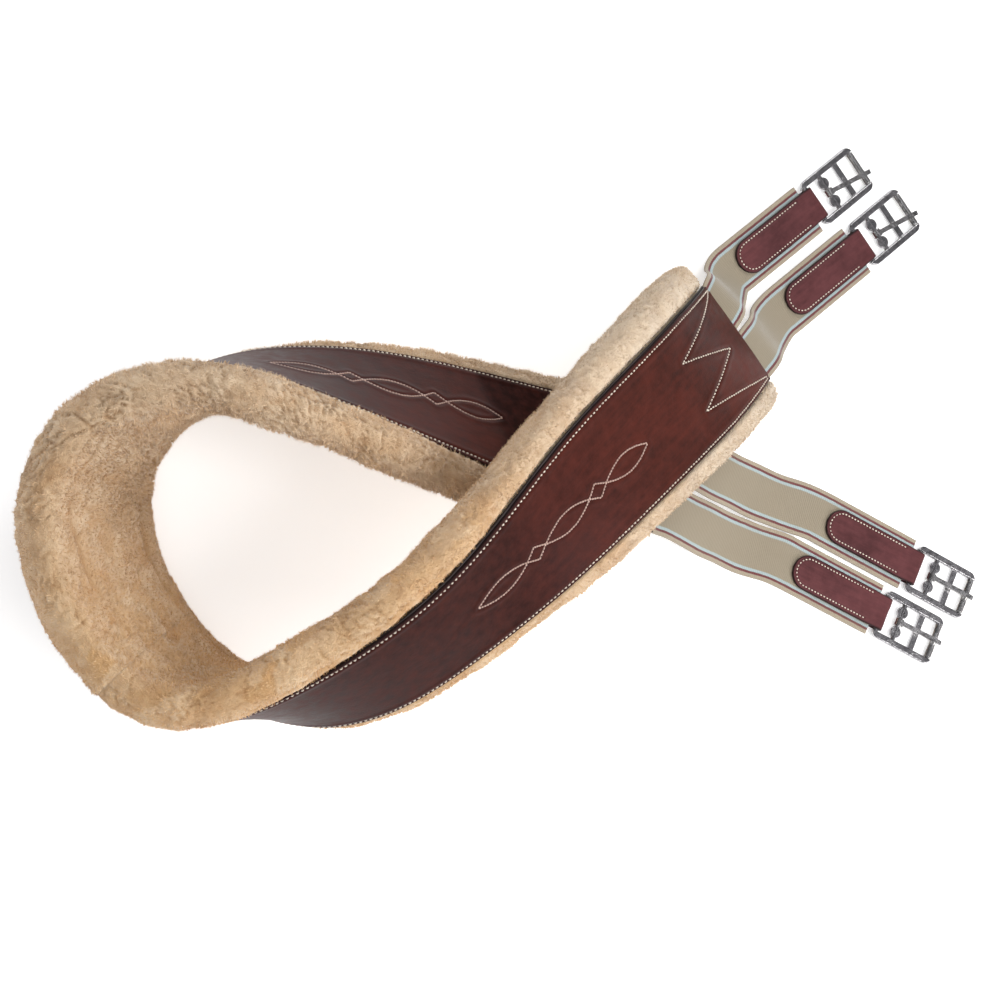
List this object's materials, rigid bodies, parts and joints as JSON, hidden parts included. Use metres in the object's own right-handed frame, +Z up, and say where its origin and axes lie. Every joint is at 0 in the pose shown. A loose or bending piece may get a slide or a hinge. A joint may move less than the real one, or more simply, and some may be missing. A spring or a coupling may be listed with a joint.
{
  "type": "saddle girth",
  "caption": "Long leather saddle girth lined with sheepskin, folded in a loop, with paired elastic straps and roller buckles at both ends.",
  "frame": {"origin": "on the surface the girth lies on, at the middle of its bounding box in plan", "axes": "+X from the loop towards the buckles, the longest extent; +Y towards end A's buckles; +Z up, the shortest extent"},
  "size_m": [0.7007, 0.4094, 0.1548],
  "materials": {
    "bridle_leather": "semi-gloss bridle leather",
    "black_leather": "satin",
    "strap_web": "woven",
    "hide": "suede",
    "wool": "deep sheepskin pile",
    "elastic_web": "ribbed elastic webbing with thin stripes",
    "steel": "polished stainless steel"
  },
  "bodies": {
    "pad": {"leather_face": "bridle_leather", "leather_backing": "black_leather", "web_core": "strap_web", "sheepskin_hide": "hide", "sheepskin_wool": "wool", "elastic_a1": "elastic_web", "elastic_a2": "elastic_web", "elastic_b1": "elastic_web", "elastic_b2": "elastic_web"},
    "chape_a1": {"chape_a1": "bridle_leather"},
    "buckle_a1": {"buckle_frame_a1": "steel"},
    "tongue_a1": {"tongue_a1": "steel"},
    "roller_a1": {"roller_a1": "steel"},
    "chape_a2": {"chape_a2": "bridle_leather"},
    "buckle_a2": {"buckle_frame_a2": "steel"},
    "tongue_a2": {"tongue_a2": "steel"},
    "roller_a2": {"roller_a2": "steel"},
    "chape_b1": {"chape_b1": "bridle_leather"},
    "buckle_b1": {"buckle_frame_b1": "steel"},
    "tongue_b1": {"tongue_b1": "steel"},
    "roller_b1": {"roller_b1": "steel"},
    "chape_b2": {"chape_b2": "bridle_leather"},
    "buckle_b2": {"buckle_frame_b2": "steel"},
    "tongue_b2": {"tongue_b2": "steel"},
    "roller_b2": {"roller_b2": "steel"}
  },
  "joints": [
    {"name": "stretch_a1", "type": "slide", "parent": "pad", "child": "chape_a1", "axis": [0.7848, 0.6198, 0], "range_m": [0, 0.04], "stiffness_N_per_m": 3000, "deforming": ["elastic_a1"]},
    {"name": "swing_a1", "type": "hinge", "parent": "chape_a1", "child": "buckle_a1", "pos_m": [0.22185, 0.16201, 0.00458], "axis": [0.6198, -0.7848, 0], "range_deg": [-70, 70]},
    {"name": "tongue_a1", "type": "hinge", "parent": "buckle_a1", "child": "tongue_a1", "pos_m": [0.23401, 0.17161, 0.00415], "axis": [0.6198, -0.7848, 0], "range_deg": [0, 110]},
    {"name": "roll_a1", "type": "hinge", "parent": "buckle_a1", "child": "roller_a1", "pos_m": [0.2584, 0.19088, 0.00328], "axis": [0.6198, -0.7848, 0], "continuous": true},
    {"name": "stretch_a2", "type": "slide", "parent": "pad", "child": "chape_a2", "axis": [0.7848, 0.6198, 0], "range_m": [0, 0.04], "stiffness_N_per_m": 3000, "deforming": ["elastic_a2"]},
    {"name": "swing_a2", "type": "hinge", "parent": "chape_a2", "child": "buckle_a2", "pos_m": [0.26035, 0.13501, 0.00458], "axis": [0.6198, -0.7848, 0], "range_deg": [-70, 70]},
    {"name": "tongue_a2", "type": "hinge", "parent": "buckle_a2", "child": "tongue_a2", "pos_m": [0.27251, 0.14461, 0.00415], "axis": [0.6198, -0.7848, 0], "range_deg": [0, 110]},
    {"name": "roll_a2", "type": "hinge", "parent": "buckle_a2", "child": "roller_a2", "pos_m": [0.2969, 0.16388, 0.00328], "axis": [0.6198, -0.7848, 0], "continuous": true},
    {"name": "stretch_b1", "type": "slide", "parent": "pad", "child": "chape_b1", "axis": [0.91, -0.4147, 0], "range_m": [0, 0.04], "stiffness_N_per_m": 3000, "deforming": ["elastic_b1"]},
    {"name": "swing_b1", "type": "hinge", "parent": "chape_b1", "child": "buckle_b1", "pos_m": [0.29935, -0.09499, 0.00458], "axis": [-0.4147, -0.91, 0], "range_deg": [-70, 70]},
    {"name": "tongue_b1", "type": "hinge", "parent": "buckle_b1", "child": "tongue_b1", "pos_m": [0.31345, -0.10142, 0.00415], "axis": [-0.4147, -0.91, 0], "range_deg": [0, 110]},
    {"name": "roll_b1", "type": "hinge", "parent": "buckle_b1", "child": "roller_b1", "pos_m": [0.34174, -0.11431, 0.00328], "axis": [-0.4147, -0.91, 0], "continuous": true},
    {"name": "stretch_b2", "type": "slide", "parent": "pad", "child": "chape_b2", "axis": [0.91, -0.4147, 0], "range_m": [0, 0.04], "stiffness_N_per_m": 3000, "deforming": ["elastic_b2"]},
    {"name": "swing_b2", "type": "hinge", "parent": "chape_b2", "child": "buckle_b2", "pos_m": [0.27235, -0.12749, 0.00458], "axis": [-0.4147, -0.91, 0], "range_deg": [-70, 70]},
    {"name": "tongue_b2", "type": "hinge", "parent": "buckle_b2", "child": "tongue_b2", "pos_m": [0.28645, -0.13392, 0.00415], "axis": [-0.4147, -0.91, 0], "range_deg": [0, 110]},
    {"name": "roll_b2", "type": "hinge", "parent": "buckle_b2", "child": "roller_b2", "pos_m": [0.31474, -0.14681, 0.00328], "axis": [-0.4147, -0.91, 0], "continuous": true}
  ]
}
